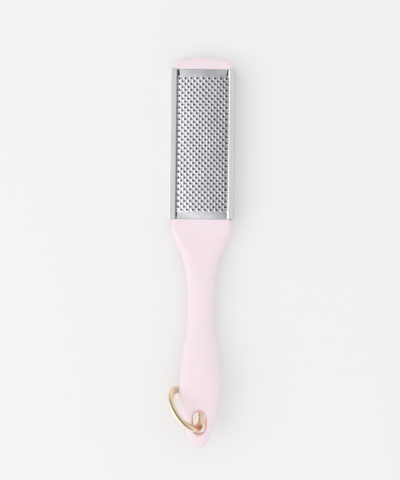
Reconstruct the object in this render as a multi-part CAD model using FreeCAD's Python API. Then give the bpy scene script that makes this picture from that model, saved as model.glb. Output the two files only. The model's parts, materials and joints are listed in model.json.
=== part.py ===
import FreeCAD, Part
import math
import os
from FreeCAD import Vector

# A foot file lying on its back, in millimetres. X runs across the tool, Y along it towards the nose,
# Z up from the table through the rasp. The origin is on the table under the middle of the tool.

# Head: the flat paddle that carries the rasp
overall_length = 250.0
head_length = 106.7
head_width = 39.0
head_thickness = 10.6
head_edge_radius = 3.0
nose_radius = 60.0
nose_corner_radius = 5.0

# Handle: widths and thicknesses from the shoulder to the tip, and the run from the fullest grip to the tip
tail_length = 62.6
neck_width = 16.4
neck_thickness = 12.4
neck_lift = 1.2
grip_width = 26.5
grip_thickness = 17.0
tail_width = 16.0
tail_thickness = 7.6
tail_lift = 11.1
shell_wall = 2.4

# Rasp: the sheet, bent to an arch of narrow flats, with as many rows and columns of teeth as it has room for
rasp_length = 95.7
rasp_end_gap = 7.8
sheet_thickness = 0.6
arch_radius = 66.0
bed_depth = 2.0
tooth_pitch = 3.74
tooth_land = 0.035
tooth_crest_radius = 0.66
tooth_bore_radius = 0.52
tooth_height = 0.75
sheet_side_margin = 1.5
tab_length = 4.8
tab_splay = 1.15
tab_end_rise = 0.5

# Rails: folded steel channels down both sides of the head
rail_sheet = 1.0
rail_flat_width = 3.2
rail_slope_width = 1.5
rail_slope_drop = 0.9
rail_lip_edge = 0.8
rail_foot_width = 4.2
rail_fold_radius = 0.6

# Tail slot and the ring that hangs in it
slot_length = 13.5
slot_corner_radius = 2.8
slot_centre_from_tip = 16.6
slot_mouth_flare = 1.2
ring_mean_radius = 14.0
ring_radial_size = 5.0
ring_axial_size = 2.8
ring_tilt_degrees = 63.4
ring_side_offset = 0.1

# Pegs that locate the two shells on each other
peg_radius = 1.5
peg_height = 2.0
peg_boss_wall = 1.5

# Fits
rail_clearance = 0.15
seat_clearance = 0.05
peg_clearance = 0.1
ring_grip_clearance = 1.74
ring_side_clearance = 0.475
ring_end_clearance = 0.68
overrun = 5.0
sew_tolerance = 0.001

# Shares along the handle, chosen by eye from the outline: from the shoulder (0) to the fullest grip (1),
# then from there (0) to the tip (1). Each row: place, then how far the width, the underside and the
# thickness have gone to the next size.
shoulder_shares = [
    (0.0, 0.0, 0.0, 0.0), (0.0284, 0.006, 0.004, 0.004), (0.0586, 0.032, 0.02, 0.02),
    (0.0924, 0.1, 0.06, 0.06), (0.1368, 0.23, 0.15, 0.15), (0.2078, 0.46, 0.34, 0.34),
    (0.302, 0.72, 0.62, 0.62), (0.405, 0.89, 0.86, 0.86), (0.4973, 0.97, 0.97, 0.97),
    (0.6039, 1.0, 1.0, 1.0),
]
flare_shares = [
    (0.7229, 0.0, 0.05, 0.0), (0.8028, 0.04, 0.35, 0.11), (0.881, 0.21, 0.72, 0.36), (1.0, 0.55, 0.9, 0.79),
]
tail_shares = [
    (0.1533, 0.18, 0.14, 0.0), (0.3066, 0.01, 0.375, 0.15), (0.3844, 0.0, 0.5, 0.255),
    (0.46, 0.015, 0.615, 0.39), (0.5629, 0.18, 0.77, 0.63), (0.6339, 0.44, 0.865, 0.82),
    (0.7162, 0.78, 0.955, 0.955), (0.8169, 1.0, 1.0, 1.0),
]
tip_shares = [(0.9199, 0.25, 0.12), (0.9611, 0.46, 0.32), (0.9872, 0.69, 0.58), (1.0, 0.91, 0.86)]
top_round_share = 0.35
full_round_share = 0.95
quarter_round_share = 0.5523
tab_share = 0.8
cavity_end_share = 0.46
peg_head_shares = (0.2, 0.5, 0.8)
peg_grip_shares = (0.04, 0.29)

# Places that follow from the sizes
nose_y = overall_length / 2
tip_y = -overall_length / 2
head_half = head_width / 2
shoulder_y = nose_y - head_length
grip_y = tip_y + tail_length
rasp_nose_y = nose_y - rasp_end_gap
rasp_heel_y = rasp_nose_y - rasp_length
bed_z = head_thickness - bed_depth
tail_middle_z = tail_lift + tail_thickness / 2
slot_y = tip_y + slot_centre_from_tip
tooth_base_radius = tooth_pitch / 4 - tooth_land
tooth_columns = int((head_width - 2 * sheet_side_margin) / tooth_pitch)
tooth_rows = 2 * int((rasp_length - 2 * tab_length) / tooth_pitch)
arch_flats = 2 * tooth_columns + 1
tab_flats = 2 * int(arch_flats * tab_share / 2) + 1
tab_end_width = tab_flats * tooth_pitch / 2 + tab_splay
rail_outer_half = head_half + rail_clearance + rail_sheet
up = Vector(0, 0, 1)
along = Vector(0, 1, 0)

# The ring leans on the left of the tail: its far side clears the fullest grip, and the slot clears its wire
ring_reach = 2 * ring_mean_radius - ring_radial_size / 2
ring_swing = math.asin((grip_width / 2 + ring_grip_clearance) / ring_reach)
ring_tilt = math.radians(ring_tilt_degrees)
ring_lean = tail_thickness / 2 / math.tan(ring_tilt)
ring_wire_x = math.hypot(ring_radial_size / 2 * math.sin(ring_swing),
                         ring_axial_size / 2 * math.cos(ring_swing) * math.sin(ring_tilt))
ring_wire_y = math.hypot(ring_radial_size / 2 * math.cos(ring_swing),
                         ring_axial_size / 2 * math.sin(ring_swing) * math.sin(ring_tilt))
slot_half_width = ring_wire_x + ring_lean * math.cos(ring_swing) + ring_side_clearance
ring_y = slot_y - slot_length / 2 + ring_wire_y + ring_lean * math.sin(ring_swing) + ring_end_clearance


def blend(start, end, share):
    return start + (end - start) * share


def quarter(start, corner, end):
    """A quarter of an ellipse, or of a circle, from start to end round the given corner."""
    reach = (corner - start).Length
    if abs(reach - (corner - end).Length) < sew_tolerance:
        centre = start + end - corner
        diagonal = corner - centre
        return Part.Arc(start, centre + diagonal * (reach / diagonal.Length), end).toShape()
    towards = start + (corner - start) * quarter_round_share
    onwards = end + (corner - end) * quarter_round_share
    curve = Part.BezierCurve()
    curve.setPoles([start, towards, onwards, end])
    return curve.toShape()


def rounded_section(y, half, bottom, top, round_x, round_bottom, round_top):
    """A closed outline across the handle: four flats joined by four rounded corners."""
    edges = []
    last = None
    for x, z, way, rise in ((half, bottom, -1, round_bottom), (half, top, -1, -round_top),
                            (-half, top, 1, -round_top), (-half, bottom, 1, round_bottom)):
        corner = Vector(x, y, z)
        on_level = Vector(x + way * round_x, y, z)
        on_upright = Vector(x, y, z + rise)
        start, end = (on_level, on_upright) if x * rise > 0 else (on_upright, on_level)
        if last:
            edges.append(Part.makeLine(last, start))
        edges.append(quarter(start, corner, end))
        last = end
    first = Vector(half - round_x, y, bottom)
    edges.append(Part.makeLine(last, first))
    return Part.Wire(edges)


def handle_stations():
    """Place along Y, half width, underside, top and roundness of each section from shoulder to tip."""
    stations = []
    for place, width, under, thick in shoulder_shares:
        bottom = neck_lift * under
        top = bottom + blend(head_thickness, neck_thickness, thick)
        half = blend(head_width, neck_width, width) / 2
        stations.append((blend(shoulder_y, grip_y, place), half, bottom, top, width))
    for place, width, under, thick in flare_shares:
        bottom = neck_lift * (1 - under)
        top = bottom + blend(neck_thickness, grip_thickness, thick)
        half = blend(neck_width, grip_width, width) / 2
        stations.append((blend(shoulder_y, grip_y, place), half, bottom, top, 1.0))
    for place, width, under, thick in tail_shares:
        bottom = tail_lift * under
        top = bottom + blend(grip_thickness, tail_thickness, thick)
        half = blend(grip_width, tail_width, width) / 2
        stations.append((blend(grip_y, tip_y, place), half, bottom, top, 1.0))
    for place, narrow, thin in tip_shares:
        half_height = tail_thickness * (1 - thin) / 2
        half = tail_width * (1 - narrow) / 2
        stations.append((blend(grip_y, tip_y, place), half,
                         tail_middle_z - half_height, tail_middle_z + half_height, 1.0))
    return stations


def corner_rounds(half, height, roundness):
    """Sideways, lower and upper reach of a section's rounded corners."""
    return (blend(head_edge_radius, full_round_share * half, roundness),
            blend(head_edge_radius, full_round_share * height * (1 - top_round_share), roundness),
            blend(head_edge_radius, full_round_share * height * top_round_share, roundness))


def handle_loft(inset, last_y):
    """The handle from shoulder to the given place, drawn in all round by the inset."""
    sections = []
    for y, half, bottom, top, roundness in handle_stations():
        if y < last_y - sew_tolerance:
            continue
        height = top - bottom
        round_x, round_bottom, round_top = corner_rounds(half, height, roundness)
        shrink_x = (half - inset) / half
        shrink_z = (height - 2 * inset) / height
        sections.append(rounded_section(
            y, half - inset, bottom + inset, top - inset,
            round_x * shrink_x, round_bottom * shrink_z, round_top * shrink_z))
    return Part.makeLoft(sections, True, False)


def head_outline():
    """Plan of the paddle: straight sides, rounded corners and a shallow nose arc."""
    centre = Vector(0, nose_y - nose_radius, 0)
    corner_x = head_half - nose_corner_radius
    reach = nose_radius - nose_corner_radius
    corner = centre + Vector(corner_x, math.sqrt(reach ** 2 - corner_x ** 2), 0)
    on_nose = centre + (corner - centre) * (nose_radius / reach)
    diagonal = (on_nose - corner) + Vector(nose_corner_radius, 0, 0)
    middle = corner + diagonal * (nose_corner_radius / diagonal.Length)
    left_middle, on_left_nose = [Vector(-point.x, point.y, 0) for point in (middle, on_nose)]
    right_side = Vector(head_half, corner.y, 0)
    left_side = Vector(-head_half, corner.y, 0)
    right_foot = Vector(head_half, shoulder_y, 0)
    left_foot = Vector(-head_half, shoulder_y, 0)
    return Part.Wire([
        Part.makeLine(right_foot, right_side),
        Part.Arc(right_side, middle, on_nose).toShape(),
        Part.Arc(on_nose, Vector(0, nose_y, 0), on_left_nose).toShape(),
        Part.Arc(on_left_nose, left_middle, left_side).toShape(),
        Part.makeLine(left_side, left_foot),
        Part.makeLine(left_foot, right_foot),
    ])


def head_block():
    block = Part.Face(head_outline()).extrude(up * head_thickness)
    rims = []
    for edge in block.Edges:
        box = edge.BoundBox
        level = box.ZLength < sew_tolerance
        on_shoulder = box.YMax < shoulder_y + sew_tolerance
        if level and not on_shoulder:
            rims.append(edge)
    return block.makeFillet(head_edge_radius, rims)


def box_between(low, high):
    size = high - low
    return Part.makeBox(size.x, size.y, size.z, low)


def peg_places():
    places = [Vector(0, blend(rasp_heel_y, rasp_nose_y, share), 0) for share in peg_head_shares]
    places += [Vector(0, blend(grip_y, tip_y, share), 0) for share in peg_grip_shares]
    return places


def cavity():
    """The hollow inside both shells, left solid where the peg bosses stand."""
    inner_half = head_half - shell_wall
    head_hollow = box_between(
        Vector(-inner_half, shoulder_y - shell_wall, shell_wall),
        Vector(inner_half, nose_y - shell_wall - nose_corner_radius, bed_z - shell_wall))
    hollow = head_hollow.fuse(handle_loft(shell_wall, blend(grip_y, tip_y, cavity_end_share)))
    boss_radius = peg_radius + peg_clearance + peg_boss_wall
    boss_height = tail_lift + grip_thickness
    bosses = [Part.makeCylinder(boss_radius, boss_height, place) for place in peg_places()]
    return hollow.cut(bosses)


def slot_wire(z, grow):
    """The slot's rounded outline at one height, widened all round by grow."""
    half_x = slot_half_width + grow
    half_y = slot_length / 2 + grow
    radius = slot_corner_radius + grow
    low = Vector(-half_x, slot_y - half_y, z)
    plate = Part.makeBox(2 * half_x, 2 * half_y, overrun, low)
    uprights = [edge for edge in plate.Edges if edge.BoundBox.ZLength > overrun / 2]
    rounded = plate.makeFillet(radius, uprights)
    lowest = min(rounded.Faces, key=lambda face: face.CenterOfMass.z)
    return lowest.OuterWire


def slot_cutter():
    """The slot through the tail, flared at both mouths so that the ring has room to lean."""
    depth = tail_thickness + 2 * overrun
    cutter = Part.Face(slot_wire(tail_lift - overrun, 0.0)).extrude(up * depth)
    for face_z, way in ((tail_lift + tail_thickness, 1), (tail_lift, -1)):
        throat = slot_wire(face_z - way * slot_mouth_flare, 0.0)
        mouth = slot_wire(face_z + way * slot_mouth_flare, 2 * slot_mouth_flare)
        cutter = cutter.fuse(Part.makeLoft([throat, mouth], True, True))
    return cutter


def parting_block():
    """Everything below the line on which the two shells meet, half way up the flat of the sides."""
    points = []
    for y, half, bottom, top, roundness in handle_stations():
        round_x, round_bottom, round_top = corner_rounds(half, top - bottom, roundness)
        middle = (bottom + round_bottom + top - round_top) / 2
        points.append(Vector(-head_width, y, middle))
    line = Part.BSplineCurve()
    line.interpolate(points)
    low = -overrun
    front = Vector(-head_width, nose_y + overrun, points[0].z)
    back = Vector(-head_width, tip_y - overrun, points[-1].z)
    front_low = Vector(front.x, front.y, low)
    back_low = Vector(back.x, back.y, low)
    outline = Part.Wire([
        Part.makeLine(front, points[0]), line.toShape(), Part.makeLine(points[-1], back),
        Part.makeLine(back, back_low), Part.makeLine(back_low, front_low),
        Part.makeLine(front_low, front),
    ])
    return Part.Face(outline).extrude(Vector(2 * head_width, 0, 0))


def parting_z(y):
    """Height of the parting line at one place along the tool."""
    probe = Part.makeLine(Vector(0, y, -overrun), Vector(0, y, 2 * grip_thickness))
    return probe.common(parting_block()).BoundBox.ZMax


def shells():
    """The front and back halves of the pink handle."""
    body = head_block().fuse(handle_loft(0.0, tip_y))
    bed = box_between(
        Vector(-head_width, rasp_heel_y - rail_clearance, bed_z),
        Vector(head_width, rasp_nose_y + rail_clearance, head_thickness + overrun))
    body = body.cut([bed, slot_cutter(), cavity()])
    for side in (-1, 1):
        inner_x = side * (rail_outer_half - rail_foot_width - rail_clearance)
        outer_x = side * head_width
        recess = box_between(
            Vector(min(inner_x, outer_x), rasp_heel_y - rail_clearance, -overrun),
            Vector(max(inner_x, outer_x), rasp_nose_y + rail_clearance, rail_sheet + rail_clearance))
        body = body.cut(recess)
    lower = parting_block()
    front = body.cut(lower)
    back = body.common(lower)
    pegs = []
    sockets = []
    for place in peg_places():
        foot = place + up * (parting_z(place.y) - peg_height)
        pegs.append(Part.makeCylinder(peg_radius, 2 * peg_height, foot))
        sockets.append(Part.makeCylinder(
            peg_radius + peg_clearance, 2 * peg_height + peg_clearance, foot))
    return front.cut(sockets), back.fuse(pegs)


def rail(side):
    """A folded channel: foot under the head, upright wall, flat top and a lip sloping to the plate."""
    outer = rail_outer_half
    fold_x = outer - rail_flat_width
    lip_x = fold_x - rail_slope_width
    lip_top = arch_top_z(lip_x) + seat_clearance + rail_lip_edge
    rail_height = lip_top + rail_slope_drop
    wall_x = outer - rail_sheet
    under = rail_height - rail_sheet
    outline = [
        (outer - rail_foot_width, 0), (outer, 0), (outer, rail_height), (fold_x, rail_height),
        (lip_x, lip_top), (lip_x, lip_top - rail_lip_edge), (fold_x, under), (wall_x, under),
        (wall_x, rail_sheet), (outer - rail_foot_width, rail_sheet),
    ]
    points = [Vector(side * x, rasp_heel_y, z) for x, z in outline]
    channel = Part.Face(Part.makePolygon(points + points[:1])).extrude(along * rasp_length)
    folds = []
    for edge in channel.Edges:
        middle = edge.CenterOfMass
        runs_along = edge.BoundBox.YLength > rasp_length / 2
        at_wall = abs(abs(middle.x) - outer) < sew_tolerance
        at_fold = abs(abs(middle.x) - fold_x) < sew_tolerance and middle.z > under + sew_tolerance
        if runs_along and (at_wall or at_fold):
            folds.append(edge)
    return channel.makeFillet(rail_fold_radius, folds)


def flat_angle():
    """Half the angle between one flat of the arch and the next."""
    return math.atan(tooth_pitch / 4 / arch_radius)


def arch_axis_z():
    """Height of the line that the sheet is bent round, with the sheet's edges on the bed."""
    edge_radius = (arch_radius - sheet_thickness) / math.cos(flat_angle())
    return bed_z + seat_clearance - edge_radius * math.cos(arch_flats * flat_angle())


def arch_top_z(x):
    """Height of the sheet's upper face at one place across it, taken on the corners of its flats."""
    return arch_axis_z() + math.sqrt((arch_radius / math.cos(flat_angle())) ** 2 - x ** 2)


def arch_corner(y, number, face_radius):
    """A corner between two flats, counted from the middle of the arch, on one face of the sheet."""
    angle = 2 * number * flat_angle()
    reach = face_radius / math.cos(flat_angle())
    return Vector(reach * math.sin(angle), y, arch_axis_z() + reach * math.cos(angle))


def corner_numbers(flats):
    return [number - flats / 2 for number in range(flats + 1)]


def closed_face(points):
    return Part.Face(Part.makePolygon(points + points[:1]))


def turned(shape, angle):
    """A copy of what was made at the crest of the arch, turned to its place across the sheet."""
    copy = shape.copy()
    copy.rotate(Vector(0, 0, arch_axis_z()), along, math.degrees(angle))
    return copy


def circle(radius, centre):
    return Part.Wire(Part.makeCircle(radius, centre, up))


def tooth(y):
    """A punched crater at the crest of the arch: sloping side, sharp rim and bore."""
    foot = Vector(0, y, arch_axis_z() + arch_radius)
    rim = foot + up * tooth_height
    under = foot - up * sheet_thickness
    side = Part.makeCone(tooth_base_radius, tooth_crest_radius, tooth_height, foot).Faces[0]
    crest = Part.Face([circle(tooth_crest_radius, rim), circle(tooth_bore_radius, rim)])
    bore = Part.makeCylinder(tooth_bore_radius, tooth_height + sheet_thickness, under).Faces[0]
    return [side, crest, bore]


def flat_strip(start_y, end_y, tooth_places):
    """One flat of the arch from end to end, both faces, with its column of teeth."""
    faces = []
    layers = ((arch_radius, tooth_base_radius), (arch_radius - sheet_thickness, tooth_bore_radius))
    for radius, hole in layers:
        half = radius * math.tan(flat_angle())
        z = arch_axis_z() + radius
        border = Part.makePolygon([
            Vector(-half, start_y, z), Vector(half, start_y, z), Vector(half, end_y, z),
            Vector(-half, end_y, z), Vector(-half, start_y, z)])
        holes = [circle(hole, Vector(0, y, z)) for y in tooth_places]
        faces.append(Part.Face([border] + holes))
    for y in tooth_places:
        faces += tooth(y)
    return faces


def end_tab(bend_y, end_y):
    """The plain end of the sheet: its middle flats go on as a tab that is bent down to the bed."""
    radii = (arch_radius, arch_radius - sheet_thickness)
    numbers = corner_numbers(arch_flats)
    kept = corner_numbers(tab_flats)
    faces = []
    for first, second in zip(numbers, numbers[1:]):
        if min(first, second) < kept[0] or max(first, second) > kept[-1]:
            upper = [arch_corner(bend_y, number, radii[0]) for number in (first, second)]
            lower = [arch_corner(bend_y, number, radii[1]) for number in (second, first)]
            faces.append(closed_face(upper + lower))
    layers = []
    for radius, lift in zip(radii, (sheet_thickness, 0)):
        root = [arch_corner(bend_y, number, radius) for number in kept]
        low = bed_z + seat_clearance + lift
        end = []
        for number in kept:
            place = number / kept[-1]
            end.append(Vector(place * tab_end_width / 2, end_y, low + tab_end_rise * (1 - place ** 2)))
        for index in range(tab_flats):
            faces.append(Part.makeRuledSurface(Part.makeLine(root[index], root[index + 1]),
                                               Part.makeLine(end[index], end[index + 1])))
        layers.append((root, end))
    (root_top, end_top), (root_low, end_low) = layers
    for side in (0, -1):
        faces.append(Part.makeRuledSurface(Part.makeLine(root_top[side], end_top[side]),
                                           Part.makeLine(root_low[side], end_low[side])))
    faces.append(closed_face(end_top + end_low[::-1]))
    return faces


def rasp_plate():
    """The rasp: columns of teeth, staggered by half a pitch, between two plain ends."""
    toothed = tooth_rows * tooth_pitch / 2
    start_y = (rasp_nose_y + rasp_heel_y) / 2 - toothed / 2
    end_y = start_y + toothed
    faces = end_tab(start_y, rasp_heel_y) + end_tab(end_y, rasp_nose_y)
    columns = [number + 0.5 for number in corner_numbers(arch_flats)[:-1]]
    for column in columns:
        staggered = (column + tooth_columns) % 2 == 0
        toothless = abs(column) > tooth_columns - 1
        first = start_y + tooth_pitch / 4 + (tooth_pitch / 2 if staggered else 0)
        rows = 0 if toothless else tooth_rows // 2
        places = [first + number * tooth_pitch for number in range(rows)]
        strip = flat_strip(start_y, end_y, places)
        faces += [turned(face, 2 * column * flat_angle()) for face in strip]
    for side in (corner_numbers(arch_flats)[0], corner_numbers(arch_flats)[-1]):
        top, low = arch_radius, arch_radius - sheet_thickness
        faces.append(closed_face([arch_corner(start_y, side, top), arch_corner(end_y, side, top),
                                  arch_corner(end_y, side, low), arch_corner(start_y, side, low)]))
    skin = Part.makeCompound(faces)
    skin.sewShape(sew_tolerance)
    plate = Part.Solid(skin.Shells[0])
    plate.fix(sew_tolerance, sew_tolerance, sew_tolerance)
    return plate


def hang_ring():
    """A ring of oval section through the slot, leaning to the left side of the tail."""
    section = Part.Ellipse(Vector(0, 0, 0), ring_radial_size / 2, ring_axial_size / 2).toShape()
    section.rotate(Vector(0, 0, 0), Vector(1, 0, 0), 90)
    section.translate(Vector(ring_mean_radius, 0, 0))
    ring = Part.Face(Part.Wire(section)).revolve(Vector(0, 0, 0), up, 360)
    ring.translate(Vector(-ring_mean_radius, 0, 0))
    ring.rotate(Vector(0, 0, 0), Vector(1, 0, 0), -ring_tilt_degrees)
    ring.rotate(Vector(0, 0, 0), up, -90 + math.degrees(ring_swing))
    ring.translate(Vector(-ring_side_offset, ring_y, tail_middle_z))
    return ring


def main():
    os.makedirs("parts", exist_ok=True)
    front, back = shells()
    pieces = {
        "front_shell": front, "back_shell": back, "rasp_plate": rasp_plate(),
        "left_rail": rail(-1), "right_rail": rail(1), "hang_ring": hang_ring(),
    }
    for name, shape in pieces.items():
        solid = shape.Solids[0] if len(shape.Solids) == 1 else shape
        print(name, len(shape.Solids), solid.isValid(), round(solid.Volume, 1))
        solid.exportStep("parts/" + name + ".step")


main()
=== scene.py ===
import json
import math

import bmesh
import bpy
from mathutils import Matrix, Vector

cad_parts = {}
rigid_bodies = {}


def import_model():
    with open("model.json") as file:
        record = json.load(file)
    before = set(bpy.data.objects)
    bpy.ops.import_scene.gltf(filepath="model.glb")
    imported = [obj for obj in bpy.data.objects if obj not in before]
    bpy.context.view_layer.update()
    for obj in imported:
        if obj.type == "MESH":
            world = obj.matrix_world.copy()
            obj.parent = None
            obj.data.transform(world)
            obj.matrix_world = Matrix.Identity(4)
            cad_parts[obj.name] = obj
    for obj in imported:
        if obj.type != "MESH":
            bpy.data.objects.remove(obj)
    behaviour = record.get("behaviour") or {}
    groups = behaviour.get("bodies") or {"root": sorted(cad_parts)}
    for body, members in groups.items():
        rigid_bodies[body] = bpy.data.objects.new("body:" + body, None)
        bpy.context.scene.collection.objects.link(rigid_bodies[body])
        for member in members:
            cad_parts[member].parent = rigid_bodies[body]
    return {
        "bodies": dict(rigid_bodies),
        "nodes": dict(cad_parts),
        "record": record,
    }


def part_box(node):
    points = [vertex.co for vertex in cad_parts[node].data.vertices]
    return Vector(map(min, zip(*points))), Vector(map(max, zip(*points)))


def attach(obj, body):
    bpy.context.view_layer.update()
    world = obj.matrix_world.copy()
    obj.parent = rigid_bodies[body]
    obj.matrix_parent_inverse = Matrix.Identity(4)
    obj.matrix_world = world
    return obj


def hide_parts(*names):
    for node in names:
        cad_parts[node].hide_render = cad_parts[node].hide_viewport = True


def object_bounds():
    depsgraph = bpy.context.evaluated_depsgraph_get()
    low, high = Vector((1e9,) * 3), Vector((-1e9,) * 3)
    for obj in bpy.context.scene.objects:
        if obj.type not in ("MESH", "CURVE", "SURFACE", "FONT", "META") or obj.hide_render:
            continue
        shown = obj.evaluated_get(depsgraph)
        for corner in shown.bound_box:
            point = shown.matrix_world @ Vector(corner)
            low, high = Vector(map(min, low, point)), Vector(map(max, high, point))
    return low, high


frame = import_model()

# Everything is in metres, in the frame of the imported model: X across the tool, Y towards the nose, Z up.
MM = 0.001
NODES = frame["nodes"]
MOUNTS = {mount["name"]: mount for mount in frame["record"]["mounts"]}

# The objects of an empty start-up file don't belong to the tool
own = list(NODES.values()) + list(frame["bodies"].values())
for stray in [thing for thing in bpy.data.objects if thing not in own]:
    bpy.data.objects.remove(stray)
CAD_LOW, CAD_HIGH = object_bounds()

# Picking and welding: how near counts as the same place
NEAR = 0.01 * MM
WELD = 0.001 * MM

# Photograph: 480 pixels high, seen square to the rasp, the tool leaning a little to the right
PHOTO_HEIGHT_PX = 480
PIXEL_SIZE = 0.640 * MM
PHOTO_CENTRE = Vector((-0.8, 8.0, 0.0)) * MM
PHOTO_LEAN = math.radians(0.7)
CAMERA_DISTANCE = 1200 * MM
FOCUS_HEIGHT = 11 * MM
# Blender takes the sensor and the lens in millimetres
SENSOR_WIDTH = 36.0

# Studio light: even on the plastic; metal sees walls that fade towards the side DARK_SIDE points to
SKY_COLOUR = (0.98, 0.99, 1.0, 1)
SKY_LIGHT = 0.95
DARK_SIDE = Vector((0.86, 0.51, 0.0))
WALL_BRIGHT = 1.8
# Place between the bright wall, 0, and the dark one, 1, with the share of WALL_BRIGHT there
WALL_TONES = [(0.10, 1.0), (0.38, 0.46), (0.62, 0.33), (0.88, 0.09)]
KEY_PLACE = Vector((-0.80, -0.35, 0.75))
KEY_SIZE = 0.8
KEY_POWER = 2.2

# Floor and backdrop
PALE = (0.875, 0.87, 0.862, 1)
FLOOR_SIZE = 6
FLOOR_GAP = 0.2 * MM
FLOOR_ROUGHNESS = 0.9
FLOOR_SHINE = 0.1
FLOOR_PALE_SHARE = 0.25

# Patterns of the finishes: scale and detail of each noise, and the span that holds nearly all its values
CLOUDS = (45, 3)
SKIN_GRAIN = (3200, 2)
BLOTS = (300, 3)
BRUSH_STROKES = (5200, 3)
STAINS = (160, 3)
HANDLING_HAZE = (420, 4)
PATTERN_SPAN = (0.3, 0.7)
EVEN = (1, 1, 1)
BRUSH_STRETCH = (1, 0.012, 1)
STAIN_STRETCH = (1, 0.4, 1)
RELIEF_DEPTH = 0.02 * MM
SKIN_RELIEF = 0.35
# Relief of the painted shade on the bed under the rasp plate
BED_SHADE_RELIEF = 0.3
BRUSH_RELIEF = 0.25

# Colours and roughness, each from the low end of its pattern to the high end
PINK = ((0.885, 0.735, 0.785), (0.915, 0.775, 0.820))
PINK_ROUGHNESS = (0.40, 0.52)
PINK_GLOW = 0.3
PINK_GLOW_DEPTH = 2.0 * MM
PINK_GLOW_COLOURS = (1.0, 0.35, 0.3)
# Painted shade: a nearly black colour on the bed under the rasp plate, where the plate's shade falls, so
# that its holes look dark.
BED_PAINTED_SHADE = ((0.025, 0.025, 0.028), (0.05, 0.05, 0.055))
BED_SHADE_ROUGHNESS = (0.5, 0.7)
PUNCHED_STEEL = ((0.735, 0.745, 0.77), (0.845, 0.855, 0.88))
PUNCHED_ROUGHNESS = (0.05, 0.12)
# Painted shade: nearly black steel on the rasp sheet's underside and the walls of its holes, so that the
# holes look dark.
SHEET_UNDERSIDE_PAINTED_SHADE = ((0.06, 0.06, 0.065), (0.11, 0.11, 0.12))
SHEET_UNDERSIDE_SHADE_ROUGHNESS = (0.4, 0.6)
RAIL_STEEL = ((0.83, 0.85, 0.865), (0.91, 0.93, 0.945))
RAIL_ROUGHNESS = (0.16, 0.26)
GOLD = ((0.97, 0.81, 0.54), (0.99, 0.89, 0.68))
GOLD_ROUGHNESS = (0.28, 0.38)

# Sockets of a Mix node that mixes colours
MIX_SHARE, MIX_FIRST, MIX_SECOND, MIX_RESULT = 0, 6, 7, 2

# Shells
SHELL_EDGE = 0.16 * MM
SHELL_EDGE_STEPS = 2
SHELL_EDGE_ANGLE = math.radians(40)
SHELL_SMOOTH = math.radians(35)
BED_Z = 8.6 * MM
SLOT_FROM_TIP = 16.6 * MM
# Coral painted on the walls of the tail's slot: painted shade warmed by the gold ring's reflected light, not
# a colour of the plastic. It reaches this far round the slot and fades between these shares.
SLOT_PAINTED_SHADE = (0.80, 0.30, 0.18, 1)
SLOT_SHADE_REACH = Vector((6.4, 10.3, 1000)) * MM
SLOT_SHADE_FADE = (0.12, 0.38)

# Rasp sheet
TOOTH_PITCH = 3.74 * MM
TOOTH_COLUMNS = 9
TOOTH_ROWS = 23
TOOTH_SIDES = 12
TOOTH_FOOT = 1.3 * MM
TOOTH_WAIST = 1.02 * MM
TOOTH_CREST = 0.96 * MM
TOOTH_WAIST_HEIGHT = 0.22 * MM
TOOTH_HEIGHT = 0.75 * MM
SHEET_THICKNESS = 0.30 * MM
SHEET_HALF = 17.76 * MM
SHEET_SMOOTH = math.radians(40)
ARCH_RADIUS = 66 * MM
ARCH_CREST_Z = 11.6 * MM
TAB_HALF = 15.2 * MM
TAB_STEPS = 2
TAB_SPREAD = 1.04
TAB_FLATTEN = 0.22
TAB_DROP = 1.1 * MM

# Rails
RAIL_FLAT = 3.7 * MM
RAIL_SLOPE = Vector((0.85, 0.0, -0.9)) * MM
RAIL_FOOT = 4.2 * MM
RAIL_SHEET = 0.6 * MM
RAIL_FOLD = 0.4 * MM
RAIL_FOLD_STEPS = 5
RAIL_BURR = 0.1 * MM
RAIL_BURR_STEPS = 2
RAIL_BURR_ANGLE = math.radians(50)
RAIL_SMOOTH = math.radians(35)

# Ring
RING_RADIUS = 14 * MM
RING_WIDTH = 5.0 * MM
RING_DEPTH = 2.8 * MM
RING_STEPS = 128
RING_SECTION_STEPS = 32
RING_SMOOTH = math.radians(60)


def fresh(name, add, **size):
    """Adds a primitive as the one selected object and gives it a name."""
    bpy.ops.object.select_all(action="DESELECT")
    add(**size)
    piece = bpy.context.object
    piece.name = piece.data.name = name
    return piece


def alone(piece):
    """Makes this the one selected object and the active one."""
    bpy.ops.object.select_all(action="DESELECT")
    piece.select_set(True)
    bpy.context.view_layer.objects.active = piece


def edit():
    """Goes into edit mode with all corners selected."""
    bpy.ops.object.mode_set(mode="EDIT")
    bpy.ops.mesh.select_mode(type="VERT")
    bpy.ops.mesh.select_all(action="SELECT")


def done():
    bpy.ops.object.mode_set(mode="OBJECT")


def middle(part):
    if isinstance(part, bmesh.types.BMVert):
        return part.co
    if isinstance(part, bmesh.types.BMEdge):
        return (part.verts[0].co + part.verts[1].co) / 2
    return part.calc_center_median()


def pick(kind, test):
    """Selects the corners, edges or faces whose middle passes the test."""
    bpy.ops.mesh.select_mode(type=kind)
    bpy.ops.mesh.select_all(action="DESELECT")
    mesh = bmesh.from_edit_mesh(bpy.context.object.data)
    parts = {"VERT": mesh.verts, "EDGE": mesh.edges, "FACE": mesh.faces}[kind]
    for part in parts:
        if test(middle(part)):
            part.select_set(True)
    mesh.select_flush_mode()
    bmesh.update_edit_mesh(bpy.context.object.data)


def extrude(x=0.0, y=0.0, z=0.0):
    """Extrudes the selected edges by one step and leaves the new edges selected."""
    bpy.ops.mesh.extrude_edges_move(TRANSFORM_OT_translate={"value": (x, y, z)})


def resize(x, y, z, about):
    bpy.ops.transform.resize(value=(x, y, z), center_override=about)


def settle(piece):
    """Puts the object's place, turn and scale into its mesh."""
    alone(piece)
    bpy.ops.object.transform_apply(location=True, rotation=True, scale=True)


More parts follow.
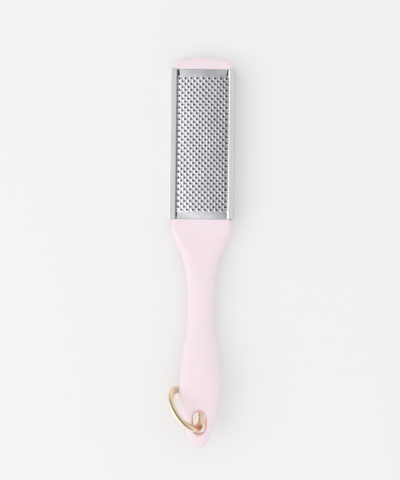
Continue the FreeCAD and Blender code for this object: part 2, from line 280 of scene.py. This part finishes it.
def finish_with(piece, kind, **settings):
    """Adds a modifier with these settings and applies it."""
    alone(piece)
    modifier = piece.modifiers.new(kind.lower(), kind)
    for name, value in settings.items():
        setattr(modifier, name, value)
    bpy.ops.object.modifier_apply(modifier=modifier.name)


def smooth(piece, angle):
    """Smooths edges flatter than the angle and keeps the large faces flat up to their rounded edges."""
    alone(piece)
    bpy.ops.object.shade_smooth_by_angle(angle=angle)
    finish_with(piece, "WEIGHTED_NORMAL", keep_sharp=True)


def place_piece(piece, body, slot, *nodes):
    """The piece rides on its body and stands for the CAD nodes."""
    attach(piece, body)
    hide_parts(*nodes)


# Materials


def new_material(name):
    material = bpy.data.materials.new(name)
    material.use_nodes = True
    nodes = material.node_tree.nodes
    return material, nodes, material.node_tree.links, nodes["Principled BSDF"]


def coordinates(nodes, links, stretch):
    """Object coordinates, stretched so that a pattern can be long in one direction."""
    place = nodes.new("ShaderNodeTexCoord")
    mapping = nodes.new("ShaderNodeMapping")
    mapping.inputs["Scale"].default_value = stretch
    links.new(place.outputs["Object"], mapping.inputs["Vector"])
    return mapping.outputs["Vector"]


def noise(nodes, links, vector, scale, detail):
    texture = nodes.new("ShaderNodeTexNoise")
    texture.inputs["Scale"].default_value = scale
    texture.inputs["Detail"].default_value = detail
    links.new(vector, texture.inputs["Vector"])
    return texture.outputs["Fac"]


def ramp(nodes, links, value, stops):
    """A colour ramp through the given (place, colour) stops."""
    band = nodes.new("ShaderNodeValToRGB")
    elements = band.color_ramp.elements
    while len(elements) < len(stops):
        elements.new(0.5)
    for element, (position, colour) in zip(elements, stops):
        element.position = position
        element.color = (*colour, 1.0)
    links.new(value, band.inputs["Fac"])
    return band.outputs["Color"]


def two_tones(nodes, links, pattern, colours):
    """The colour of a noise pattern that goes from the first tone to the second."""
    return ramp(nodes, links, pattern, list(zip(PATTERN_SPAN, colours)))


def spread(nodes, links, value, low, high):
    """Maps a 0 to 1 pattern onto a range of values."""
    span = nodes.new("ShaderNodeMapRange")
    span.inputs["To Min"].default_value = low
    span.inputs["To Max"].default_value = high
    links.new(value, span.inputs["Value"])
    return span.outputs["Result"]


def share_of(nodes, links, value, low, high):
    """How far a value is between two limits, from 0 to 1."""
    span = nodes.new("ShaderNodeMapRange")
    span.inputs["From Min"].default_value = low
    span.inputs["From Max"].default_value = high
    links.new(value, span.inputs["Value"])
    return span.outputs["Result"]


def bump(nodes, links, shader, height, strength):
    relief = nodes.new("ShaderNodeBump")
    relief.inputs["Distance"].default_value = RELIEF_DEPTH
    relief.inputs["Strength"].default_value = strength
    links.new(height, relief.inputs["Height"])
    links.new(relief.outputs["Normal"], shader.inputs["Normal"])


def mixed(nodes, links, share, first, second):
    """The first shader where the share is 0 and the second where it is 1."""
    choice = nodes.new("ShaderNodeMixShader")
    for source, socket in zip((share, first, second), choice.inputs):
        links.new(source, socket)
    return choice.outputs["Shader"]


def painted_slot_shade_share(nodes, links):
    """Share of the painted slot shade: 1 on the walls of the tail's slot, fading out at its mouth."""
    place = nodes.new("ShaderNodeTexCoord")
    centred = nodes.new("ShaderNodeMapping")
    centred.vector_type = "TEXTURE"
    centred.inputs["Location"].default_value = (0, CAD_LOW.y + SLOT_FROM_TIP, 0)
    centred.inputs["Scale"].default_value = SLOT_SHADE_REACH
    links.new(place.outputs["Object"], centred.inputs["Vector"])
    depth = nodes.new("ShaderNodeTexGradient")
    depth.gradient_type = "SPHERICAL"
    links.new(centred.outputs["Vector"], depth.inputs["Vector"])
    return share_of(nodes, links, depth.outputs["Fac"], *SLOT_SHADE_FADE)


def soft_pink_plastic():
    """Moulded plastic with a fine satin skin, a little clouded in colour, with a painted coral shade inside
    the slot.
    """
    material, nodes, links, shader = new_material("soft_pink_plastic")
    even = coordinates(nodes, links, EVEN)
    clouds = noise(nodes, links, even, *CLOUDS)
    # The slot's walls are painted coral: painted shade and the gold ring's painted reflected light.
    pink_and_painted_slot_shade = nodes.new("ShaderNodeMix")
    pink_and_painted_slot_shade.data_type = "RGBA"
    links.new(painted_slot_shade_share(nodes, links), pink_and_painted_slot_shade.inputs[MIX_SHARE])
    links.new(two_tones(nodes, links, clouds, PINK), pink_and_painted_slot_shade.inputs[MIX_FIRST])
    pink_and_painted_slot_shade.inputs[MIX_SECOND].default_value = SLOT_PAINTED_SHADE
    links.new(pink_and_painted_slot_shade.outputs[MIX_RESULT], shader.inputs["Base Color"])
    grain = noise(nodes, links, even, *SKIN_GRAIN)
    links.new(spread(nodes, links, grain, *PINK_ROUGHNESS), shader.inputs["Roughness"])
    bump(nodes, links, shader, grain, SKIN_RELIEF)
    shader.inputs["Subsurface Weight"].default_value = PINK_GLOW
    shader.inputs["Subsurface Radius"].default_value = PINK_GLOW_COLOURS
    shader.inputs["Subsurface Scale"].default_value = PINK_GLOW_DEPTH
    return material


def painted_bed_shade():
    """Painted shade on the bed under the rasp plate: dull and nearly black, it shows through the holes of
    the rasp as their shade.
    """
    material, nodes, links, shader = new_material("painted_bed_shade")
    blots = noise(nodes, links, coordinates(nodes, links, EVEN), *BLOTS)
    links.new(two_tones(nodes, links, blots, BED_PAINTED_SHADE), shader.inputs["Base Color"])
    links.new(spread(nodes, links, blots, *BED_SHADE_ROUGHNESS), shader.inputs["Roughness"])
    bump(nodes, links, shader, blots, BED_SHADE_RELIEF)
    return material


def brushed_steel(name, colours, roughness):
    """Metal with fine brush lines along the tool: stainless steel, or the painted shade of the rasp sheet's
    underside.
    """
    material, nodes, links, shader = new_material(name)
    strokes = noise(nodes, links, coordinates(nodes, links, BRUSH_STRETCH), *BRUSH_STROKES)
    stains = noise(nodes, links, coordinates(nodes, links, STAIN_STRETCH), *STAINS)
    links.new(two_tones(nodes, links, stains, colours), shader.inputs["Base Color"])
    links.new(spread(nodes, links, strokes, *roughness), shader.inputs["Roughness"])
    bump(nodes, links, shader, strokes, BRUSH_RELIEF)
    shader.inputs["Metallic"].default_value = 1.0
    return material


def polished_gold():
    """Bright gold plating with the faint haze of handling."""
    material, nodes, links, shader = new_material("polished_gold")
    haze = noise(nodes, links, coordinates(nodes, links, EVEN), *HANDLING_HAZE)
    links.new(two_tones(nodes, links, haze, GOLD), shader.inputs["Base Color"])
    links.new(spread(nodes, links, haze, *GOLD_ROUGHNESS), shader.inputs["Roughness"])
    shader.inputs["Metallic"].default_value = 1.0
    return material


# Shells


def paint_bed_shade(half, material):
    """Gives the bed under the rasp plate a second material, its painted shade."""
    low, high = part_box("rasp_plate")
    half.data.materials.append(material)
    half.active_material_index = len(half.data.materials) - 1
    edit()
    pick("FACE", lambda at: at.z > BED_Z - NEAR and low.y < at.y < high.y)
    bpy.ops.object.material_slot_assign()
    done()


def shell(name, material, bed_shade_material=None):
    """A copy of a moulded half with its edges rounded, so that a fine groove runs along the parting line."""
    alone(NODES[name])
    bpy.ops.object.duplicate()
    half = bpy.context.object
    half.name = half.data.name = "moulded_" + name
    half.data.materials.clear()
    edit()
    bpy.ops.mesh.remove_doubles(threshold=WELD)
    done()
    finish_with(half, "BEVEL", width=SHELL_EDGE, segments=SHELL_EDGE_STEPS, limit_method="ANGLE",
                angle_limit=SHELL_EDGE_ANGLE)
    edit()
    bpy.ops.mesh.remove_doubles(threshold=WELD)
    bpy.ops.mesh.dissolve_degenerate(threshold=WELD)
    done()
    half.data.materials.append(material)
    # The front half's bed under the rasp plate gets the painted shade.
    if bed_shade_material:
        paint_bed_shade(half, bed_shade_material)
    smooth(half, SHELL_SMOOTH)
    place_piece(half, "handle", "pink_plastic", name)


# Rasp


def diamond(name):
    """One flat diamond of the sheet at the origin, with as many corners round it as a tooth has."""
    side = TOOTH_PITCH / math.sqrt(2)
    cell = fresh(name, bpy.ops.mesh.primitive_plane_add, size=side, rotation=(0, 0, math.radians(45)))
    settle(cell)
    edit()
    bpy.ops.mesh.subdivide(number_cuts=TOOTH_SIDES // 4 - 1)
    done()
    return cell


def tooth_cell():
    """A diamond with a punched crater: a wide skirt, a waist and a narrower open crest."""
    cell = diamond("tooth_cell")
    edit()
    pick("VERT", lambda at: abs(at.x) + abs(at.y) < TOOTH_PITCH / 2 - NEAR)
    bpy.ops.mesh.delete(type="VERT")
    bpy.ops.mesh.primitive_circle_add(vertices=TOOTH_SIDES, radius=TOOTH_FOOT)
    bpy.ops.mesh.select_all(action="SELECT")
    bpy.ops.mesh.bridge_edge_loops()
    radius, height = TOOTH_FOOT, 0.0
    for next_radius, next_height in ((TOOTH_WAIST, TOOTH_WAIST_HEIGHT), (TOOTH_CREST, TOOTH_HEIGHT)):
        pick("EDGE", lambda at: at.xy.length < radius + NEAR and at.z > height - NEAR)
        extrude(z=next_height - height)
        share = next_radius / radius
        resize(share, share, 1, (0, 0, next_height))
        radius, height = next_radius, next_height
    done()
    return cell


def field(cell, first, columns, rows):
    """Copies of a cell in a rectangular field from its first corner, one pitch apart both ways."""
    alone(cell)
    bpy.ops.object.duplicate()
    patch = bpy.context.object
    patch.location = first
    settle(patch)
    for count, step in ((columns, (TOOTH_PITCH, 0, 0)), (rows, (0, TOOTH_PITCH, 0))):
        finish_with(patch, "ARRAY", count=count, use_relative_offset=False, use_constant_offset=True,
                    constant_offset_displace=step)
    return patch


def toothed_field(name, start_y):
    """Staggered columns of teeth in a border of plain diamonds, joined to one flat sheet."""
    half = TOOTH_PITCH / 2
    reach_x = (TOOTH_COLUMNS - 1) * half
    short_y = start_y + half / 2
    long_y = short_y + half
    end_y = short_y + TOOTH_ROWS * TOOTH_PITCH
    tooth, plain = tooth_cell(), diamond("plain_cell")
    patches = [
        field(tooth, (-reach_x, long_y, 0), TOOTH_COLUMNS, TOOTH_ROWS),
        field(tooth, (half - reach_x, short_y, 0), TOOTH_COLUMNS - 1, TOOTH_ROWS),
        field(plain, (-reach_x, long_y - TOOTH_PITCH, 0), TOOTH_COLUMNS, 1),
        field(plain, (half - reach_x, end_y, 0), TOOTH_COLUMNS - 1, 1),
    ]
    for outside, first_y in ((half, short_y), (TOOTH_PITCH, long_y - TOOTH_PITCH)):
        for side in (-1, 1):
            patches.append(field(plain, (side * (reach_x + outside), first_y, 0), 1, TOOTH_ROWS + 1))
    for cell in (tooth, plain):
        bpy.data.objects.remove(cell)
    sheet = patches[0]
    alone(sheet)
    for patch in patches:
        patch.select_set(True)
    bpy.ops.object.join()
    sheet.name = sheet.data.name = name
    edit()
    bpy.ops.mesh.remove_doubles(threshold=NEAR)
    done()
    return sheet


def cut_sides_and_add_tabs(tabs):
    """Cuts the active sheet straight at its four sides and lengthens its ends by flat tabs."""
    (heel_y, _), (nose_y, _) = tabs
    edit()
    for place, facing in (((0, heel_y, 0), (0, -1, 0)), ((0, nose_y, 0), (0, 1, 0)),
                          ((-SHEET_HALF, 0, 0), (-1, 0, 0)), ((SHEET_HALF, 0, 0), (1, 0, 0))):
        bpy.ops.mesh.select_all(action="SELECT")
        bpy.ops.mesh.bisect(plane_co=place, plane_no=facing, clear_outer=True)
    for edge_y, end_y in tabs:
        pick("EDGE", lambda at: abs(at.y - edge_y) < NEAR and abs(at.x) < TAB_HALF)
        for _ in range(TAB_STEPS):
            extrude(y=(end_y - edge_y) / TAB_STEPS)
    bpy.ops.mesh.select_all(action="SELECT")
    bpy.ops.mesh.normals_make_consistent(inside=True)
    done()


def arch(sheet):
    """Bends the flat sheet across the tool. The bend goes round Z, so the sheet stands up meanwhile."""
    quarter_turn = math.radians(90)
    sheet.rotation_euler = (quarter_turn, 0, 0)
    settle(sheet)
    finish_with(sheet, "SIMPLE_DEFORM", deform_method="BEND", deform_axis="Z",
                angle=2 * SHEET_HALF / ARCH_RADIUS)
    sheet.rotation_euler = (-quarter_turn, 0, 0)
    sheet.location = (0, 0, ARCH_CREST_Z)
    settle(sheet)


def bend_tabs_down(tabs):
    """Flattens, spreads and lowers the active sheet's tabs, more towards their ends."""
    edit()
    for edge_y, end_y in tabs:
        for step in range(1, TAB_STEPS + 1):
            share = step / TAB_STEPS
            row_y = edge_y + (end_y - edge_y) * share
            pick("VERT", lambda at: abs(at.y - row_y) < NEAR)
            resize(1 + (TAB_SPREAD - 1) * share, 1, 1 + (TAB_FLATTEN - 1) * share, (0, row_y, ARCH_CREST_Z))
            bpy.ops.transform.translate(value=(0, 0, -TAB_DROP * share))
    done()


def rasp_sheet(material, inner_shade_material):
    """One arched sheet of punched teeth, with a plain tab bent down at each end."""
    low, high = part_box("rasp_plate")
    length = TOOTH_ROWS * TOOTH_PITCH
    start_y = (low.y + high.y - length) / 2
    margin = TOOTH_PITCH / 4
    # Where each tab starts and ends: the heel's, then the nose's
    tabs = ((start_y - margin, low.y), (start_y + length + margin, high.y))
    sheet = toothed_field("rasp_sheet", start_y)
    cut_sides_and_add_tabs(tabs)
    arch(sheet)
    bend_tabs_down(tabs)
    sheet.data.materials.append(material)
    sheet.data.materials.append(inner_shade_material)
    # The underside and the walls of the holes take the second material, a painted shade.
    finish_with(sheet, "SOLIDIFY", thickness=SHEET_THICKNESS, offset=-1, material_offset=1)
    smooth(sheet, SHEET_SMOOTH)
    place_piece(sheet, "handle", "rasp_steel", "rasp_plate")


# Rails


def rail(name, side, material):
    """A folded channel: the flat top first, then its wall, foot and sloping lip."""
    low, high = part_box(name)
    outer = max(abs(low.x), abs(high.x))
    fold_x = outer - RAIL_FLAT

    def at_wall(at):
        return abs(at.x) > outer - NEAR

    def at_lip_fold(at):
        return abs(abs(at.x) - fold_x) < NEAR and at.z > high.z - NEAR

    centre = Vector((outer - RAIL_FLAT / 2, (low.y + high.y) / 2, high.z))
    channel = fresh(name + "_channel", bpy.ops.mesh.primitive_plane_add, size=1, location=centre)
    channel.scale = (RAIL_FLAT, high.y - low.y, 1)
    settle(channel)
    edit()
    pick("EDGE", at_wall)
    extrude(z=low.z - high.z)
    extrude(x=-RAIL_FOOT)
    pick("EDGE", at_lip_fold)
    extrude(x=-RAIL_SLOPE.x, z=RAIL_SLOPE.z)
    bpy.ops.mesh.select_all(action="SELECT")
    resize(side, 1, 1, (0, 0, 0))
    bpy.ops.mesh.normals_make_consistent(inside=False)
    done()
    finish_with(channel, "SOLIDIFY", thickness=RAIL_SHEET, offset=-1, use_even_offset=True)
    edit()
    pick("EDGE", lambda at: low.y + NEAR < at.y < high.y - NEAR and (at_wall(at) or at_lip_fold(at)))
    bpy.ops.mesh.bevel(offset=RAIL_FOLD, offset_type="WIDTH", segments=RAIL_FOLD_STEPS, affect="EDGES")
    done()
    finish_with(channel, "BEVEL", width=RAIL_BURR, segments=RAIL_BURR_STEPS, limit_method="ANGLE",
                angle_limit=RAIL_BURR_ANGLE)
    channel.data.materials.append(material)
    smooth(channel, RAIL_SMOOTH)
    place_piece(channel, "handle", "rail_steel", name)


# Ring


def ring(material):
    """An oval band round the centre and the axis that the record gives for the ring's eye."""
    eye = MOUNTS["ring_eye"]
    band = fresh("gold_ring", bpy.ops.mesh.primitive_torus_add, major_segments=RING_STEPS,
                 minor_segments=RING_SECTION_STEPS, major_radius=RING_RADIUS, minor_radius=RING_WIDTH / 2)
    edit()
    resize(1, 1, RING_DEPTH / RING_WIDTH, (0, 0, 0))
    done()
    band.rotation_euler = Vector(eye["axis"]).to_track_quat("Z", "Y").to_euler()
    band.location = eye["pos_m"]
    settle(band)
    band.data.materials.append(material)
    smooth(band, RING_SMOOTH)
    place_piece(band, "ring", "gold_plate", "hang_ring")


# Stage, light and camera


def floor():
    """A pale floor that keeps the tool's shadow; the camera sees it a little more evenly than it is lit."""
    plane = fresh("floor", bpy.ops.mesh.primitive_plane_add, size=FLOOR_SIZE)
    material, nodes, links, shader = new_material("pale_floor")
    shader.inputs["Base Color"].default_value = PALE
    shader.inputs["Roughness"].default_value = FLOOR_ROUGHNESS
    shader.inputs["Specular IOR Level"].default_value = FLOOR_SHINE
    even = nodes.new("ShaderNodeEmission")
    even.inputs["Color"].default_value = PALE
    seen = nodes.new("ShaderNodeLightPath")
    share = spread(nodes, links, seen.outputs["Is Camera Ray"], 0.0, FLOOR_PALE_SHARE)
    surface = mixed(nodes, links, share, shader.outputs["BSDF"], even.outputs["Emission"])
    links.new(surface, nodes["Material Output"].inputs["Surface"])
    plane.data.materials.append(material)
    plane.location.z = CAD_LOW.z - FLOOR_GAP


def area_light(name, place, size, power):
    """A soft square lamp that faces the middle of the tool."""
    lamp = bpy.data.lights.new(name, "AREA")
    lamp.size = size
    lamp.energy = power
    light = bpy.data.objects.new(name, lamp)
    light.location = place
    light.rotation_euler = place.to_track_quat("Z", "Y").to_euler()
    bpy.context.scene.collection.objects.link(light)


def studio():
    """Even light from all round and a soft lamp at the left; metal sees walls that darken to the right."""
    world = bpy.data.worlds.new("studio")
    bpy.context.scene.world = world
    world.use_nodes = True
    nodes, links = world.node_tree.nodes, world.node_tree.links
    sky = nodes["Background"]
    sky.inputs["Color"].default_value = SKY_COLOUR
    sky.inputs["Strength"].default_value = SKY_LIGHT
    place = nodes.new("ShaderNodeTexCoord")
    side = nodes.new("ShaderNodeVectorMath")
    side.operation = "DOT_PRODUCT"
    side.inputs[1].default_value = DARK_SIDE
    links.new(place.outputs["Generated"], side.inputs[0])
    across = share_of(nodes, links, side.outputs["Value"], -1, 1)
    greys = [(position, (tone, tone, tone)) for position, tone in WALL_TONES]
    walls = nodes.new("ShaderNodeBackground")
    walls.inputs["Strength"].default_value = WALL_BRIGHT
    links.new(ramp(nodes, links, across, greys), walls.inputs["Color"])
    backdrop = nodes.new("ShaderNodeBackground")
    backdrop.inputs["Color"].default_value = PALE
    seen = nodes.new("ShaderNodeLightPath")
    light = sky.outputs["Background"]
    for ray, view in (("Is Glossy Ray", walls), ("Is Camera Ray", backdrop)):
        light = mixed(nodes, links, seen.outputs[ray], light, view.outputs["Background"])
    links.new(light, nodes["World Output"].inputs["Surface"])
    area_light("key_left", KEY_PLACE, KEY_SIZE, KEY_POWER)
    bpy.context.scene.view_settings.view_transform = "Standard"


def camera():
    """Looks straight down, with the photograph's height of view at the focus height."""
    lens = bpy.data.cameras.new("photo_camera")
    lens.sensor_width = SENSOR_WIDTH
    lens.lens = SENSOR_WIDTH * CAMERA_DISTANCE / (PHOTO_HEIGHT_PX * PIXEL_SIZE)
    eye = bpy.data.objects.new("photo_camera", lens)
    eye.location = PHOTO_CENTRE + Vector((0, 0, FOCUS_HEIGHT + CAMERA_DISTANCE))
    eye.rotation_euler = (0, 0, PHOTO_LEAN)
    bpy.context.scene.collection.objects.link(eye)
    bpy.context.scene.camera = eye


def main():
    pink = soft_pink_plastic()
    shell("front_shell", pink, painted_bed_shade())
    shell("back_shell", pink)
    rasp_sheet(brushed_steel("punched_steel", PUNCHED_STEEL, PUNCHED_ROUGHNESS),
               brushed_steel("painted_shade_sheet_underside", SHEET_UNDERSIDE_PAINTED_SHADE, SHEET_UNDERSIDE_SHADE_ROUGHNESS))
    rail_steel = brushed_steel("brushed_rail_steel", RAIL_STEEL, RAIL_ROUGHNESS)
    rail("left_rail", -1, rail_steel)
    rail("right_rail", 1, rail_steel)
    ring(polished_gold())
    floor()
    studio()
    camera()


main()
